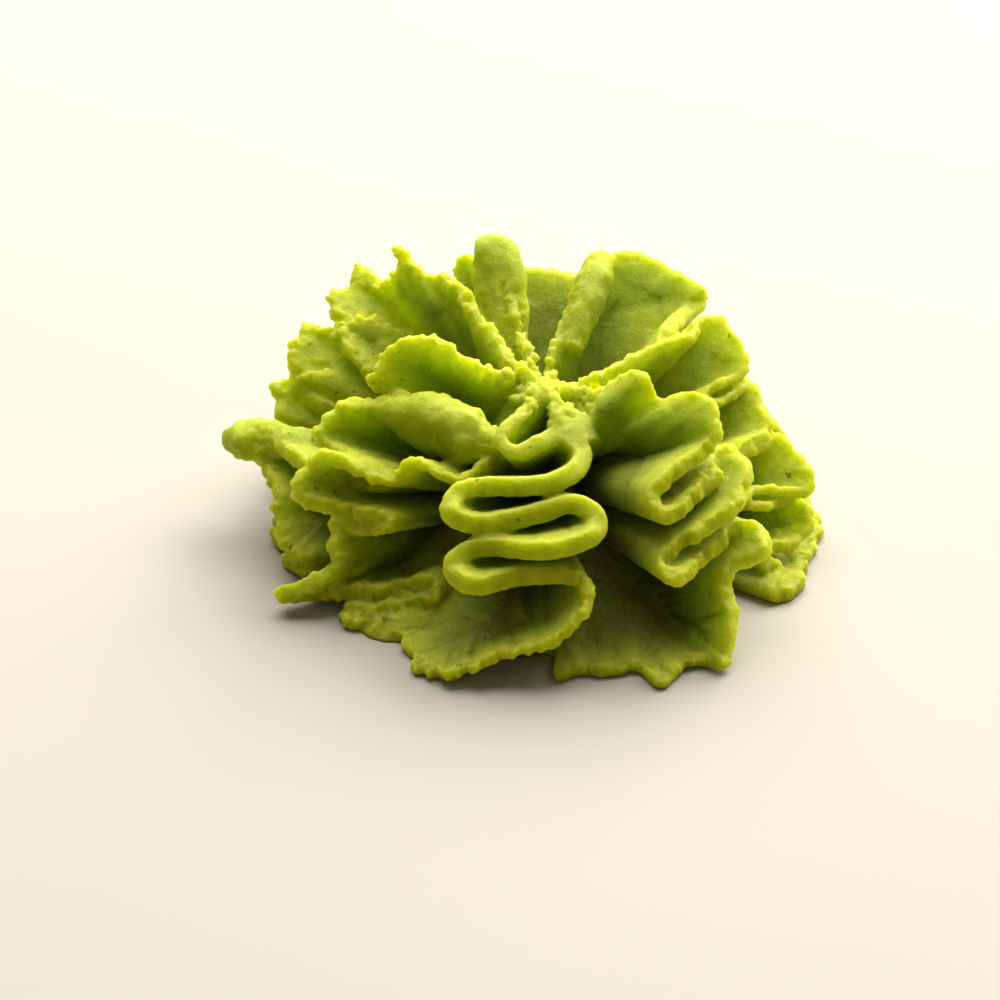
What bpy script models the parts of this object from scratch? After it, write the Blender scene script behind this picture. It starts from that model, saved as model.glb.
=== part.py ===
"""Piped wasabi paste rosette: one closed solid, resting on a flat base at z = 0.

The paste leaves a star nozzle with eight points.  Each point of the star lays down
one fin.  A fin is a sheet whose inner edge runs down the middle of the rosette and
whose free outer edge, its rim, first runs outward along a crest and then folds from
side to side as it sinks to the plate, where it spreads into a ragged flap.

Lengths in the tables are millimetres, angles are degrees.  +X is right, +Y is away
from the front, +Z is up, and the middle of the base is at the origin.
"""

import bmesh
import bpy
import numpy as np

NAME = "wasabi_rosette"
MM = 0.001

# Fins: a rim is a list of (kind, azimuth, radius, height[, bend radius]).
# At a TURN the rim makes a hairpin; at a PASS it goes straight through.
TURN, PASS = "turn", "pass"
FINS = {
    "front": (-93, [
        (PASS, -73, 1.2, 12.4), (PASS, -103, 3.6, 12.2), (PASS, -114, 5.3, 11.8),
        (PASS, -115, 6.5, 11.2), (PASS, -104, 7.1, 10.9), (PASS, -90, 6.3, 11.3),
        (PASS, -75, 5.9, 11.5), (PASS, -68, 7.1, 11.2), (PASS, -70, 8.4, 10.9),
        (PASS, -78, 9.6, 10.7), (PASS, -89, 10.3, 10.5), (PASS, -101, 10.4, 10.3),
        (PASS, -112, 10.9, 10.2), (PASS, -118, 12.0, 10.0), (PASS, -117, 13.5, 9.4),
        (PASS, -110, 13.2, 8.7), (PASS, -99, 12.3, 8.9), (PASS, -88, 11.7, 9.3),
        (PASS, -79, 11.5, 9.6), (PASS, -73, 12.8, 9.3), (PASS, -75, 14.2, 8.8),
        (PASS, -84, 14.8, 8.4), (PASS, -93, 14.5, 8.0), (PASS, -103, 13.8, 7.6),
        (PASS, -110, 14.4, 7.3), (PASS, -112, 16.0, 6.7), (PASS, -106, 16.5, 6.1),
        (PASS, -97, 15.0, 6.1), (PASS, -87, 14.7, 6.2), (PASS, -80, 15.2, 6.0),
        (PASS, -79, 16.6, 5.3), (PASS, -83, 17.6, 4.0), (PASS, -89, 18.2, 2.9),
        (PASS, -98, 18.6, 2.2), (PASS, -104, 19.2, 1.4), (PASS, -109, 19.4, 0.8),
        (PASS, -116, 18.4, 0.4)]),
    "front_right": (-42, [
        (PASS, -27, 1.1, 11.6), (PASS, -18, 4.5, 12.4), (PASS, -25, 7.5, 14.8),
        (PASS, -26, 8.8, 13.1), (PASS, -25, 10.9, 14.0), (PASS, -25, 12.6, 14.0),
        (PASS, -29, 13.6, 13.2), (PASS, -33, 14.0, 12.4), (PASS, -41, 13.7, 11.8),
        (PASS, -52, 13.6, 11.2), (PASS, -58, 14.3, 10.4), (PASS, -57, 15.1, 9.6),
        (PASS, -52, 15.2, 9.6), (PASS, -45, 14.9, 10.0), (PASS, -35, 13.9, 10.2),
        (PASS, -26, 14.0, 10.4), (PASS, -27, 15.4, 10.2), (PASS, -32, 16.3, 9.7),
        (PASS, -39, 16.7, 9.0), (PASS, -47, 16.5, 8.3), (PASS, -55, 16.3, 7.7),
        (PASS, -60, 16.8, 7.0), (PASS, -60, 17.8, 6.4), (PASS, -54, 17.3, 6.3),
        (PASS, -46, 16.7, 6.5), (PASS, -38, 16.4, 6.8), (PASS, -35, 17.5, 6.8),
        (PASS, -36, 18.6, 6.2), (PASS, -40, 18.6, 5.6), (PASS, -44, 17.7, 5.0),
        (PASS, -46, 17.9, 4.2), (PASS, -48, 19.3, 3.0), (PASS, -52, 20.3, 1.3),
        (PASS, -55, 20.4, 0.5), (PASS, -59, 19.3, 0.5), (PASS, -67, 20.3, 0.4),
        (PASS, -70, 18.4, 0.4), (PASS, -77, 17.9, 0.4), (PASS, -87, 18.0, 0.4)]),
    "right": (0, [
        (PASS, 5, 1.2, 11.6), (PASS, 2, 4.0, 12.5), (PASS, 12, 6.9, 13.3),
        (PASS, 17, 8.8, 13.5), (PASS, 19, 10.1, 13.5), (PASS, 19, 11.1, 13.3),
        (PASS, 26, 11.9, 13.2), (PASS, 29, 13.2, 13.0), (PASS, 27, 13.9, 12.6),
        (PASS, 23, 14.2, 12.1), (PASS, 19, 14.5, 11.5), (PASS, 16, 14.6, 10.9),
        (PASS, 13, 14.2, 10.5), (PASS, 11, 13.0, 10.4), (PASS, 8, 11.8, 10.4),
        (PASS, 5, 11.3, 10.1), (PASS, 5, 12.2, 9.7), (PASS, 8, 13.1, 9.6),
        (PASS, 12, 14.1, 9.5), (PASS, 13, 14.8, 9.3), (PASS, 10, 15.0, 8.8),
        (PASS, 7, 15.3, 8.3), (PASS, 4, 15.8, 7.8), (PASS, 1, 15.4, 7.6),
        (PASS, -2, 14.6, 7.7), (PASS, -5, 13.8, 7.8), (PASS, -8, 13.4, 7.5),
        (PASS, -6, 14.3, 7.2), (PASS, -1, 15.3, 7.0), (PASS, 3, 16.2, 6.9),
        (PASS, 1, 17.1, 6.3), (PASS, -2, 17.9, 5.6), (PASS, -5, 18.5, 4.8),
        (PASS, -7, 18.3, 4.5), (PASS, -9, 17.0, 4.9), (PASS, -12, 15.6, 5.4),
        (PASS, -15, 14.9, 5.5), (PASS, -17, 14.7, 5.0), (PASS, -15, 15.6, 4.6),
        (PASS, -10, 16.7, 4.1), (PASS, -7, 17.8, 3.6), (PASS, -9, 18.7, 2.9),
        (PASS, -12, 18.4, 2.2), (PASS, -16, 17.8, 2.0), (PASS, -20, 16.8, 2.4),
        (PASS, -25, 16.7, 2.2), (PASS, -23, 17.4, 1.2), (PASS, -29, 18.1, 0.6),
        (PASS, -22, 19.0, 0.5), (PASS, -13, 18.5, 0.4), (PASS, -4, 19.0, 0.4),
        (PASS, 6, 18.6, 0.4), (PASS, 17, 18.4, 0.4)]),
    "back_right": (44, [
        (PASS, 60, 1.2, 11.6), (PASS, 78, 4.5, 12.0), (PASS, 72, 9.0, 14.0),
        (PASS, 68, 12.2, 14.6), (PASS, 61, 13.8, 14.2), (PASS, 52, 14.1, 13.5),
        (TURN, 40, 14.2, 12.4), (TURN, 22, 9.0, 11.8), (TURN, 60, 14.6, 10.2),
        (TURN, 15, 15.2, 8.6), (TURN, 64, 16.8, 6.8), (TURN, 14, 17.0, 4.8),
        (PASS, 40, 18.4, 3.0), (PASS, 55, 19.2, 1.3), (PASS, 68, 18.4, 0.5)]),
    "back": (96, [
        (PASS, 100, 1.2, 11.6), (PASS, 103, 5.0, 12.0), (PASS, 106, 9.0, 13.4),
        (PASS, 108, 12.2, 14.2), (TURN, 114, 13.4, 13.2), (PASS, 97, 12.3, 13.0),
        (TURN, 80, 12.6, 12.1), (PASS, 95, 13.9, 11.3), (TURN, 117, 14.2, 10.4),
        (PASS, 102, 13.4, 9.5), (PASS, 87, 15.0, 9.2), (TURN, 75, 16.4, 8.2),
        (PASS, 91, 15.2, 7.6), (PASS, 105, 16.2, 7.1), (TURN, 117, 17.6, 6.2),
        (PASS, 104, 16.1, 5.3), (PASS, 89, 16.8, 5.3), (TURN, 77, 18.2, 4.2),
        (PASS, 88, 19.0, 2.6), (PASS, 101, 19.4, 1.1), (PASS, 115, 18.6, 0.5)]),
    "back_left": (140, [
        (PASS, 135, 1.2, 11.8), (PASS, 125, 4.1, 12.2), (PASS, 125, 7.0, 13.5),
        (PASS, 127, 8.5, 14.0), (PASS, 124, 9.2, 14.3), (PASS, 125, 10.4, 14.4),
        (PASS, 126, 11.5, 14.5), (PASS, 128, 12.4, 14.4), (PASS, 130, 13.2, 14.6),
        (PASS, 131, 14.5, 15.4), (PASS, 132, 14.9, 14.2), (PASS, 132, 15.1, 13.0),
        (PASS, 133, 16.0, 12.2), (PASS, 133, 17.1, 12.0), (PASS, 132, 18.1, 12.4),
        (PASS, 134, 18.4, 11.8), (PASS, 137, 18.1, 11.4), (PASS, 140, 18.1, 11.2),
        (PASS, 143, 17.7, 10.9), (PASS, 145, 16.8, 10.7), (PASS, 144, 15.9, 10.7),
        (PASS, 142, 15.2, 10.8), (PASS, 139, 14.3, 10.8), (PASS, 138, 13.2, 10.6),
        (PASS, 138, 12.0, 10.2), (PASS, 148, 11.6, 9.6), (PASS, 155, 12.5, 9.2),
        (PASS, 154, 14.1, 9.6), (PASS, 150, 15.3, 10.0), (PASS, 147, 16.1, 10.2),
        (PASS, 148, 17.0, 10.0), (PASS, 148, 17.8, 9.8), (PASS, 148, 18.7, 10.0),
        (PASS, 151, 18.6, 9.5), (PASS, 154, 18.7, 9.0), (PASS, 156, 18.8, 8.6),
        (PASS, 158, 18.1, 8.2), (PASS, 158, 17.2, 8.2), (PASS, 156, 16.2, 8.3),
        (PASS, 152, 14.9, 8.0), (PASS, 154, 13.7, 7.6), (PASS, 157, 12.8, 7.1),
        (PASS, 163, 13.6, 6.6), (PASS, 163, 15.4, 6.9), (PASS, 161, 17.2, 7.1),
        (PASS, 159, 18.5, 7.3), (PASS, 159, 19.4, 7.2), (PASS, 161, 18.9, 6.4),
        (PASS, 164, 18.4, 5.8), (PASS, 160, 17.2, 5.3), (TURN, 126, 17.6, 4.9),
        (TURN, 160, 18.4, 3.4), (PASS, 142, 19.2, 1.7), (PASS, 133, 19.5, 1.0),
        (PASS, 122, 18.4, 0.5)]),
    "left": (-178, [
        (PASS, 151, 2.0, 12.0), (PASS, 170, 4.1, 12.8), (PASS, 170, 5.8, 13.8),
        (PASS, 168, 7.6, 14.5), (PASS, 171, 9.5, 14.0), (PASS, 176, 10.9, 13.0),
        (TURN, 180, 11.4, 12.0, 0.8), (TURN, -138, 4.8, 9.9), (PASS, -166, 8.6, 11.0),
        (PASS, -173, 10.3, 11.3), (PASS, -174, 12.0, 11.0), (PASS, -175, 13.3, 10.8),
        (PASS, -174, 14.4, 10.2), (PASS, -172, 15.3, 9.3), (PASS, -169, 14.9, 8.7),
        (PASS, -163, 13.8, 8.6), (PASS, -156, 12.7, 8.2), (PASS, -151, 11.9, 8.0),
        (PASS, -158, 13.6, 7.2), (PASS, -172, 16.2, 6.9), (PASS, 178, 18.0, 6.6),
        (TURN, 174, 19.4, 5.9, 1.2), (PASS, 178, 18.6, 4.9), (PASS, -172, 18.0, 4.6),
        (PASS, -168, 18.2, 3.4), (PASS, -163, 18.1, 2.2), (PASS, -158, 17.0, 1.4),
        (PASS, -163, 17.8, 0.6), (PASS, -171, 17.5, 0.5), (PASS, 180, 18.2, 0.5),
        (PASS, 172, 17.6, 0.5), (PASS, 163, 17.9, 0.5)]),
    "front_left": (-138, [
        (PASS, -125, 5.0, 9.4), (PASS, -129, 9.3, 8.8), (PASS, -143, 10.8, 9.9),
        (PASS, -146, 11.2, 8.6), (PASS, -147, 12.4, 8.4), (PASS, -151, 13.6, 8.8),
        (PASS, -156, 14.6, 9.4), (PASS, -161, 15.7, 9.2), (PASS, -162, 16.8, 8.4),
        (PASS, -161, 17.4, 7.6), (PASS, -158, 17.3, 6.8), (PASS, -154, 16.0, 6.5),
        (PASS, -141, 13.2, 6.2), (PASS, -146, 14.6, 5.6), (PASS, -151, 16.0, 5.4),
        (PASS, -150, 15.6, 4.9), (PASS, -149, 16.6, 4.5), (PASS, -147, 16.4, 3.8),
        (PASS, -146, 17.2, 3.1), (PASS, -148, 19.0, 2.0), (PASS, -150, 20.5, 1.3),
        (PASS, -149, 18.2, 1.0), (PASS, -136, 14.6, 1.8), (PASS, -124, 12.8, 2.2),
        (PASS, -133, 15.4, 1.0), (PASS, -141, 17.1, 0.5), (PASS, -136, 17.6, 0.4),
        (PASS, -133, 16.3, 0.4), (PASS, -129, 16.4, 0.4), (PASS, -124, 17.0, 0.4),
        (PASS, -119, 17.8, 0.4), (PASS, -115, 19.2, 0.4), (PASS, -107, 18.9, 0.4)]),
}

# Torn tongues on the fins: thickness as a share of width, and rows of
# (azimuth, radius, height, half width).
TONGUES = {
    "front_ridge": (1.0, [(-72, 1.5, 12.2, 0.5), (-72, 3.0, 11.8, 0.6), (-75, 4.9, 11.3, 0.8)]),
    "front_shoulder": (1.0, [(-64, 2.4, 11.2, 0.7), (-62, 4.6, 10.7, 1.3),
                             (-62, 6.4, 10.1, 1.3)]),
    "back_leaf": (0.3, [(112, 4.5, 9.8, 1.1), (110, 6.9, 11.6, 1.6), (107, 9.1, 13.5, 1.9),
                        (106, 10.8, 15.1, 1.75), (107, 11.7, 15.9, 1.0)]),
    "cup_ridge": (1.0, [(62, 4.6, 11.6, 0.7), (66, 7.0, 12.9, 1.1), (68, 9.6, 13.9, 1.2),
                        (70, 12.0, 14.4, 0.8)]),
    "left_spike": (1.0, [(177, 15.0, 6.3, 1.2), (175, 17.4, 6.0, 1.55),
                         (174, 19.3, 5.8, 1.6), (173, 20.6, 5.6, 1.35),
                         (173, 21.4, 5.5, 0.7)]),
    "pillow": (1.0, [(-174, 11.0, 10.6, 0.8), (-170, 9.4, 10.3, 1.4), (-164, 7.6, 10.0, 2.0),
                     (-151, 6.2, 9.6, 2.0), (-137, 5.3, 9.2, 1.5), (-125, 4.8, 8.9, 0.8)]),
}

BEND = 1.15             # radius of a hairpin where a row gives none
STEPS = 12              # points on a rim between two rows
RIM_STEP = 0.6          # spacing of the points along a finished rim
ACROSS = 13             # points on a sheet from root to rim
EVEN = 9                # rim points over which the root height is evened out
ROOT_RADIUS = 1.2       # the fins' inner edges stand this far from the axis
ROOT_SPREAD = 0.3       # share of the rim's sideways swing that reaches the root
ROOT_DROP, ROOT_LIFT = 0.42, 0.2    # root height = drop * rim height + lift
NECK = 1.0              # thickness of the paste at the root
CREST, RIM, FLAP = 0.9, 1.15, 0.95  # thickness of the rim: crest, folds and foot flap
CREST_RUN, FLAP_RUN = 16.0, 14.0    # length of rim that is crest, and foot flap
CHANGE = 5.0            # length over which the rim's thickness changes
SWELL = 5.0             # distance from the rim where the sheet begins to thicken
RAGGED = 0.25           # how far a torn rim wanders in and out
TEAR = 1.1              # length of one tear along the rim

# Core: (radius, height) from the star's middle down to the spread foot.
CORE = [(0.0, 11.6), (1.6, 11.2), (2.8, 9.4), (4.4, 7.0), (6.2, 5.0), (8.6, 3.0),
        (11.5, 1.7), (14.4, 1.0), (15.4, 0.2), (15.4, -0.6), (0.0, -0.6)]
CORE_SIDES = 48
FOOT_WAVES = [(5, 0.05, 60), (8, 0.05, 0), (13, 0.03, 120)]  # (waves round, share, shift)

SKIN = 0.38             # size of the cells that fuse the sheets into one body
TRIANGLES = 11000       # faces left on the fused body
PASTE_COLOUR = (0.36, 0.50, 0.03, 1.0)


def clear_scene():
    """Remove every object of the open scene."""
    for thing in list(bpy.data.objects):
        bpy.data.objects.remove(thing, do_unlink=True)


def polar(azimuth, radius, height):
    """Points from azimuth (degrees), radius and height."""
    turn = np.radians(azimuth)
    return np.stack([radius * np.cos(turn), radius * np.sin(turn), height + 0 * turn], -1)


def rim_directions(kinds, azimuth, radius, points):
    """Unit tangent at each row: along the path at a PASS, down the slope at a TURN."""
    before = np.r_[0, np.arange(len(points) - 1)]
    after = np.r_[np.arange(1, len(points)), len(points) - 1]
    along = points[after] - points[before]
    out = (radius[after] - radius[before])[:, None] * polar(azimuth, 1.0, 0.0)
    out[:, 2] = np.minimum(along[:, 2], -0.6)
    chosen = np.where((kinds == TURN)[:, None], out, along)
    return chosen / np.linalg.norm(chosen, axis=1, keepdims=True)


def rim_curve(rows):
    """Smooth rim through the rows, with hairpins of the given bend radius."""
    kinds = np.array([row[0] for row in rows])
    azimuth, radius, height = np.array([row[1:4] for row in rows], float).T
    bends = np.array([row[4] if len(row) > 4 else BEND for row in rows])
    points = polar(azimuth, radius, height)
    direction = rim_directions(kinds, azimuth, radius, points)
    chord = np.linalg.norm(np.diff(points, axis=0), axis=1)
    turning = kinds == TURN
    leave = np.where(turning[:-1], np.sqrt(6 * chord * bends[:-1]), chord)[:, None, None]
    arrive = np.where(turning[1:], np.sqrt(6 * chord * bends[1:]), chord)[:, None, None]
    t = np.linspace(0.0, 1.0, STEPS, endpoint=False)[None, :, None]
    curve = ((2 * t**3 - 3 * t**2 + 1) * points[:-1, None]
             + (t**3 - 2 * t**2 + t) * direction[:-1, None] * leave
             + (3 * t**2 - 2 * t**3) * points[1:, None]
             + (t**3 - t**2) * direction[1:, None] * arrive)
    return np.concatenate([curve.reshape(-1, 3), points[-1:]])


def resample(points, step):
    """The same curve with evenly spaced points, and the length run at each."""
    run = np.r_[0, np.cumsum(np.linalg.norm(np.diff(points, axis=0), axis=1))]
    even = np.linspace(0.0, run[-1], int(run[-1] / step) + 1)
    return np.stack([np.interp(even, run, axis) for axis in points.T], -1), even


def smooth(values, width):
    """Running mean of a list of heights."""
    padded = np.pad(values, (width // 2, width - 1 - width // 2), mode="edge")
    return np.convolve(padded, np.ones(width) / width, mode="valid")


def ease(value):
    """Smooth step from 0 to 1."""
    t = np.clip(value, 0.0, 1.0)
    return t * t * (3 - 2 * t)


def fin_sheet(middle, rows, seed):
    """Middle surface of a fin from its root to its rim, and its thickness."""
    rim, run = resample(rim_curve(rows), RIM_STEP)
    swing = np.degrees(np.arctan2(rim[:, 1], rim[:, 0])) - middle
    swing = (swing + 180) % 360 - 180
    height = smooth(np.minimum.accumulate(ROOT_DROP * rim[:, 2] + ROOT_LIFT), EVEN)
    root = polar(middle + ROOT_SPREAD * swing, ROOT_RADIUS, height)
    tears = np.random.default_rng(seed).uniform(-1, 1, int(run[-1] / TEAR) + 2)
    ragged = RAGGED * np.interp(run / TEAR, np.arange(len(tears)), tears)
    outward = rim - root
    rim = rim + outward / np.linalg.norm(outward, axis=1, keepdims=True) * ragged[:, None]
    share = np.linspace(0.0, 1.0, ACROSS)[None, :, None]
    surface = root[:, None] * (1 - share) + rim[:, None] * share
    edge = (RIM + (CREST - RIM) * ease((CREST_RUN - run) / CHANGE)
            + (FLAP - RIM) * ease((run - run[-1] + FLAP_RUN) / CHANGE))
    away = np.linalg.norm(rim[:, None] - surface, axis=2)
    return surface, NECK + (edge[:, None] - NECK) * ease(1 - away / SWELL)


def grid_faces(rows, columns, offset=0):
    """Quads of a grid of points stored row by row."""
    index = np.arange(rows * columns).reshape(rows, columns) + offset
    return np.stack([index[:-1, :-1], index[1:, :-1], index[1:, 1:], index[:-1, 1:]],
                    -1).reshape(-1, 4)


def sheet_solid(surface, thickness):
    """Closed solid of a sheet: both faces of the surface and the band around them."""
    along = np.gradient(surface, axis=0)
    across = np.gradient(surface, axis=1)
    normal = np.cross(along, across)
    normal /= np.linalg.norm(normal, axis=2, keepdims=True)
    half = normal * thickness[..., None] / 2
    count, width = surface.shape[:2]
    size = count * width
    index = np.arange(size).reshape(count, width)
    edge = np.r_[index[:-1, 0], index[-1, :-1], index[:0:-1, -1], index[0, :0:-1]]
    beside = np.roll(edge, -1)
    faces = np.concatenate([grid_faces(count, width),
                            grid_faces(count, width, size)[:, ::-1],
                            np.stack([beside, edge, edge + size, beside + size], -1)])
    points = np.concatenate([(surface + half).reshape(-1, 3),
                             (surface - half).reshape(-1, 3)])
    return points * MM, faces


def tongue_solid(flat, rows):
    """A tapered round lobe through the rows, closed at both ends."""
    azimuth, radius, height, half = np.array(rows, float).T
    path = polar(azimuth, radius, height)
    along = np.gradient(path, axis=0)
    along /= np.linalg.norm(along, axis=1, keepdims=True)
    side = np.cross(along, (0, 0, 1.0))
    side /= np.linalg.norm(side, axis=1, keepdims=True)
    lift = np.cross(side, along)
    turn = np.radians(np.arange(0, 360, 45))
    ring = (path[:, None] + half[:, None, None]
            * (side[:, None] * np.cos(turn)[None, :, None]
               + flat * lift[:, None] * np.sin(turn)[None, :, None]))
    count = len(turn)
    index = np.arange(len(rows) * count).reshape(len(rows), count)
    following = np.roll(index, -1, axis=1)
    walls = np.stack([index[:-1], following[:-1], following[1:], index[1:]], -1)
    faces = walls.reshape(-1, 4).tolist() + [index[0, ::-1].tolist(), index[-1].tolist()]
    return ring.reshape(-1, 3) * MM, faces


def core_solid():
    """Points and faces of the turned core that carries the fins."""
    turn = np.arange(CORE_SIDES) * 360 / CORE_SIDES
    wave = sum(share * np.cos(np.radians(count * turn - shift))
               for count, share, shift in FOOT_WAVES)
    foot_radius = CORE[-2][0]
    rings = [polar(turn, radius * (1 + wave * (radius / foot_radius) ** 2), height)
             for radius, height in CORE[1:-1]]
    points = np.concatenate(rings + [np.array([[0, 0, CORE[0][1]], [0, 0, CORE[-1][1]]])])
    index = np.arange(len(rings) * CORE_SIDES).reshape(len(rings), CORE_SIDES)
    following = np.roll(index, -1, axis=1)
    walls = np.stack([index[:-1], index[1:], following[1:], following[:-1]], -1)
    top, foot = len(points) - 2, len(points) - 1
    faces = walls.reshape(-1, 4).tolist()
    faces += [[int(a), int(b), top] for a, b in zip(index[0], following[0])]
    faces += [[int(b), int(a), foot] for a, b in zip(index[-1], following[-1])]
    return points * MM, faces


def loose_parts():
    """All overlapping solids of the rosette, as points and faces."""
    parts = [core_solid()]
    for seed, (middle, rows) in enumerate(FINS.values()):
        parts.append(sheet_solid(*fin_sheet(middle, rows, seed)))
    parts += [tongue_solid(flat, rows) for flat, rows in TONGUES.values()]
    return parts


def build_mesh():
    """One mesh that holds every overlapping solid."""
    builder = bmesh.new()
    for points, faces in loose_parts():
        mesh = bpy.data.meshes.new("part")
        mesh.from_pydata(points.tolist(), [], [list(face) for face in faces])
        builder.from_mesh(mesh)
        bpy.data.meshes.remove(mesh)
    bmesh.ops.recalc_face_normals(builder, faces=builder.faces)
    mesh = bpy.data.meshes.new(NAME)
    builder.to_mesh(mesh)
    builder.free()
    return mesh


def apply_modifiers(body):
    """Replace the body's mesh by what its modifiers make of it."""
    depsgraph = bpy.context.evaluated_depsgraph_get()
    mesh = bpy.data.meshes.new_from_object(body.evaluated_get(depsgraph))
    body.modifiers.clear()
    body.data = mesh
    mesh.name = NAME


def fuse(body):
    """Fuse the overlapping solids into one skin and thin out its faces."""
    skin = body.modifiers.new("Fuse", "REMESH")
    skin.mode = "VOXEL"
    skin.voxel_size = SKIN * MM
    apply_modifiers(body)
    body.data.calc_loop_triangles()
    thin = body.modifiers.new("Thin", "DECIMATE")
    thin.ratio = TRIANGLES / len(body.data.loop_triangles)
    thin.use_collapse_triangulate = True
    apply_modifiers(body)


def cut_base(body, collection):
    """Cut the underside flat at z = 0."""
    size = 60 * MM
    block = bpy.data.meshes.new("under")
    builder = bmesh.new()
    bmesh.ops.create_cube(builder, size=size)
    bmesh.ops.translate(builder, verts=builder.verts, vec=(0, 0, -size / 2))
    builder.to_mesh(block)
    builder.free()
    under = bpy.data.objects.new("under", block)
    collection.objects.link(under)
    cut = body.modifiers.new("Base", "BOOLEAN")
    cut.operation = "DIFFERENCE"
    cut.solver = "EXACT"
    cut.object = under
    apply_modifiers(body)
    bpy.data.objects.remove(under, do_unlink=True)


def paste_material():
    """Moist green paste."""
    material = bpy.data.materials.new("wasabi_paste")
    material.use_nodes = True
    shader = material.node_tree.nodes["Principled BSDF"]
    shader.inputs["Base Color"].default_value = PASTE_COLOUR
    shader.inputs["Roughness"].default_value = 0.55
    shader.inputs["Metallic"].default_value = 0.0
    return material


def main():
    """Build the rosette."""
    clear_scene()
    collection = bpy.data.collections.new("wasabi_paste_rosette")
    bpy.context.scene.collection.children.link(collection)
    body = bpy.data.objects.new(NAME, build_mesh())
    collection.objects.link(body)
    fuse(body)
    cut_base(body, collection)
    body.data.materials.clear()
    body.data.materials.append(paste_material())


main()
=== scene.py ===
"""Looks of the piped wasabi paste rosette.

The rosette is one body of soft green paste.  Eight fins, one for each point of the
star nozzle, start as torn crests in the middle, fold from side to side as they sink
and spread into ragged flaps at the foot.  This script builds that body as a fine skin,
dresses it as moist, grainy paste and sets it on a pale floor in soft light.

Shapes are worked out in millimetres and turned into metres when a mesh is made.
Azimuths are in degrees, counted from +X (right) towards +Y (away from the front).
"""

from __future__ import annotations

import logging
import math
from collections.abc import Callable, Iterable
from dataclasses import dataclass, field

import bmesh
import bpy
import numpy as np
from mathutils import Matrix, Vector


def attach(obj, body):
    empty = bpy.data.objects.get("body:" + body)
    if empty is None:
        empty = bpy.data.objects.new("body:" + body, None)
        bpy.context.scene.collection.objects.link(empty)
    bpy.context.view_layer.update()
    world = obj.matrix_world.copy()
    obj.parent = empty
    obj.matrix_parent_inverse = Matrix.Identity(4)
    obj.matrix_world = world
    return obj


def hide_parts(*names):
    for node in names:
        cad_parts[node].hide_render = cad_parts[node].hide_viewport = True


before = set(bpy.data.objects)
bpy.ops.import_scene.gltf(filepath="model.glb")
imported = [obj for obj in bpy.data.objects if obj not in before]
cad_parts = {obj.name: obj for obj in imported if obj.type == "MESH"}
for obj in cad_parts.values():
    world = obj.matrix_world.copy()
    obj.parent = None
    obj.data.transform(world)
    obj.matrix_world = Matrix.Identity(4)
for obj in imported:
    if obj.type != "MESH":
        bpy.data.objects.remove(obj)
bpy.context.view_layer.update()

log = logging.getLogger("wasabi_rosette")

MM = 0.001
UP = (0.0, 0.0, 1.0)
TINY = 1e-12
NODE = "wasabi_rosette"
PIECE = "piped_paste"

# Lengths of the noises' lists of values, both powers of two, and what mixes a cell's
# three numbers into a place on the list.
LATTICE_VALUES = 8192
LATTICE_PRIMES = (73856093, 19349663, 83492791)
LINE_VALUES = 4096


# How tightly a rim turns back in a hairpin, unless its row says otherwise.
BEND = 1.15

# Tables of the rims, from the middle of the rosette to its foot.  A row is an azimuth, a
# radius and a height that the rim passes through.  With a bend radius after them, the rim
# turns back there in a hairpin.
Row = tuple

FRONT = [
    (-73, 1.2, 12.4), (-103, 3.6, 12.2), (-114, 5.3, 11.8), (-115, 6.5, 11.2),
    (-104, 7.1, 10.9), (-90, 6.3, 11.3), (-75, 5.9, 11.5), (-68, 7.1, 11.2),
    (-70, 8.4, 10.9), (-78, 9.6, 10.7), (-89, 10.3, 10.5), (-101, 10.4, 10.3),
    (-112, 10.9, 10.2), (-118, 12.0, 10.0), (-117, 13.5, 9.4), (-110, 13.2, 8.7),
    (-99, 12.3, 8.9), (-88, 11.7, 9.3), (-79, 11.5, 9.6), (-73, 12.8, 9.3),
    (-75, 14.2, 8.8), (-84, 14.8, 8.4), (-93, 14.5, 8.0), (-103, 13.8, 7.6),
    (-110, 14.4, 7.3), (-112, 16.0, 6.7), (-106, 16.5, 6.1), (-97, 15.0, 6.1),
    (-87, 14.7, 6.2), (-80, 15.2, 6.0), (-79, 16.6, 5.3), (-83, 17.6, 4.0),
    (-89, 18.2, 2.9), (-98, 18.6, 2.2), (-104, 19.2, 1.4), (-109, 19.4, 0.8),
    (-116, 18.4, 0.4)]
FRONT_RIGHT = [
    (-27, 1.1, 11.6), (-18, 4.5, 12.4), (-25, 7.5, 14.8), (-26, 8.8, 13.1),
    (-25, 10.9, 14.0), (-25, 12.6, 14.0), (-29, 13.6, 13.2), (-33, 14.0, 12.4),
    (-41, 13.7, 11.8), (-52, 13.6, 11.2), (-58, 14.3, 10.4), (-57, 15.1, 9.6),
    (-52, 15.2, 9.6), (-45, 14.9, 10.0), (-35, 13.9, 10.2), (-26, 14.0, 10.4),
    (-27, 15.4, 10.2), (-32, 16.3, 9.7), (-39, 16.7, 9.0), (-47, 16.5, 8.3),
    (-55, 16.3, 7.7), (-60, 16.8, 7.0), (-60, 17.8, 6.4), (-54, 17.3, 6.3),
    (-46, 16.7, 6.5), (-38, 16.4, 6.8), (-35, 17.5, 6.8), (-36, 18.6, 6.2),
    (-40, 18.6, 5.6), (-44, 17.7, 5.0), (-46, 17.9, 4.2), (-48, 19.3, 3.0),
    (-52, 20.3, 1.3), (-55, 20.4, 0.5), (-59, 19.3, 0.5), (-67, 20.3, 0.4),
    (-70, 18.4, 0.4), (-77, 17.9, 0.4), (-87, 18.0, 0.4)]
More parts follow.
